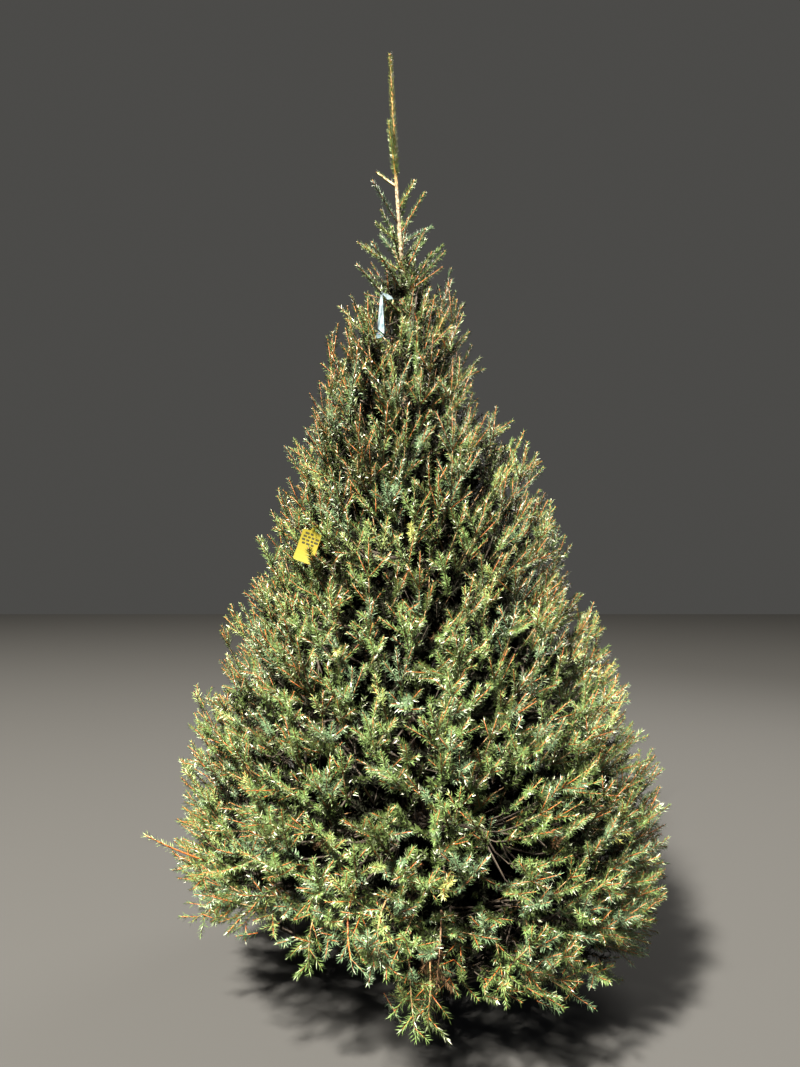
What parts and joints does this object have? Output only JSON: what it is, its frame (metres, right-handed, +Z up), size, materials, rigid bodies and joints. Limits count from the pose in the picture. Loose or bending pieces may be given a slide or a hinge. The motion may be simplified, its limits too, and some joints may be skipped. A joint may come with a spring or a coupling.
{
  "type": "spruce tree",
  "caption": "Dense conical spruce on its own leaning trunk, with whorled boughs, masses of needled twigs, a bare unclipped leader, a hanging tag and a ribbon.",
  "frame": {"origin": "centre of the trunk's flat cut at ground level", "axes": "+Z up; -Y is the side seen in the picture; the trunk leans towards -X"},
  "size_m": [1.7593, 1.7603, 3.41],
  "materials": {
    "trunk_bark": "rough scaly bark",
    "bough_bark": "rough thin bark",
    "needles": "matt green needles",
    "shoot_needles": "young shoots with short green needles",
    "tag_plastic": "satin yellow plastic sheet",
    "ribbon_plastic": "thin pale plastic film"
  },
  "bodies": {
    "root": {"trunk": "trunk_bark", "bough_1_1": "bough_bark", "foliage_1_1": "needles", "bough_1_2": "bough_bark", "foliage_1_2": "needles", "bough_1_3": "bough_bark", "foliage_1_3": "needles", "bough_1_4": "bough_bark", "foliage_1_4": "needles", "bough_1_5": "bough_bark", "foliage_1_5": "needles", "bough_2_1": "bough_bark", "foliage_2_1": "needles", "bough_2_2": "bough_bark", "foliage_2_2": "needles", "bough_2_3": "bough_bark", "foliage_2_3": "needles", "bough_2_4": "bough_bark", "foliage_2_4": "needles", "bough_3_1": "bough_bark", "foliage_3_1": "needles", "bough_3_2": "bough_bark", "foliage_3_2": "needles", "bough_3_3": "bough_bark", "foliage_3_3": "needles", "bough_3_4": "bough_bark", "foliage_3_4": "needles", "bough_4_1": "bough_bark", "foliage_4_1": "needles", "bough_4_2": "bough_bark", "foliage_4_2": "needles", "bough_4_3": "bough_bark", "foliage_4_3": "needles", "bough_4_4": "bough_bark", "foliage_4_4": "needles", "bough_5_1": "bough_bark", "foliage_5_1": "needles", "bough_5_2": "bough_bark", "foliage_5_2": "needles", "bough_5_3": "bough_bark", "foliage_5_3": "needles", "bough_6_1": "bough_bark", "foliage_6_1": "needles", "bough_6_2": "bough_bark", "foliage_6_2": "needles", "bough_6_3": "bough_bark", "foliage_6_3": "needles", "foliage_7_1": "needles", "foliage_7_2": "needles", "foliage_8_1": "needles", "foliage_8_2": "needles", "foliage_9_1": "needles", "foliage_9_2": "needles", "leader_side_shoot": "shoot_needles", "leader_stub": "shoot_needles", "shoot_left": "shoot_needles", "shoot_right": "shoot_needles", "ribbon_shoot": "shoot_needles", "yellow_tag": "tag_plastic", "white_ribbon": "ribbon_plastic"}
  },
  "joints": []
}
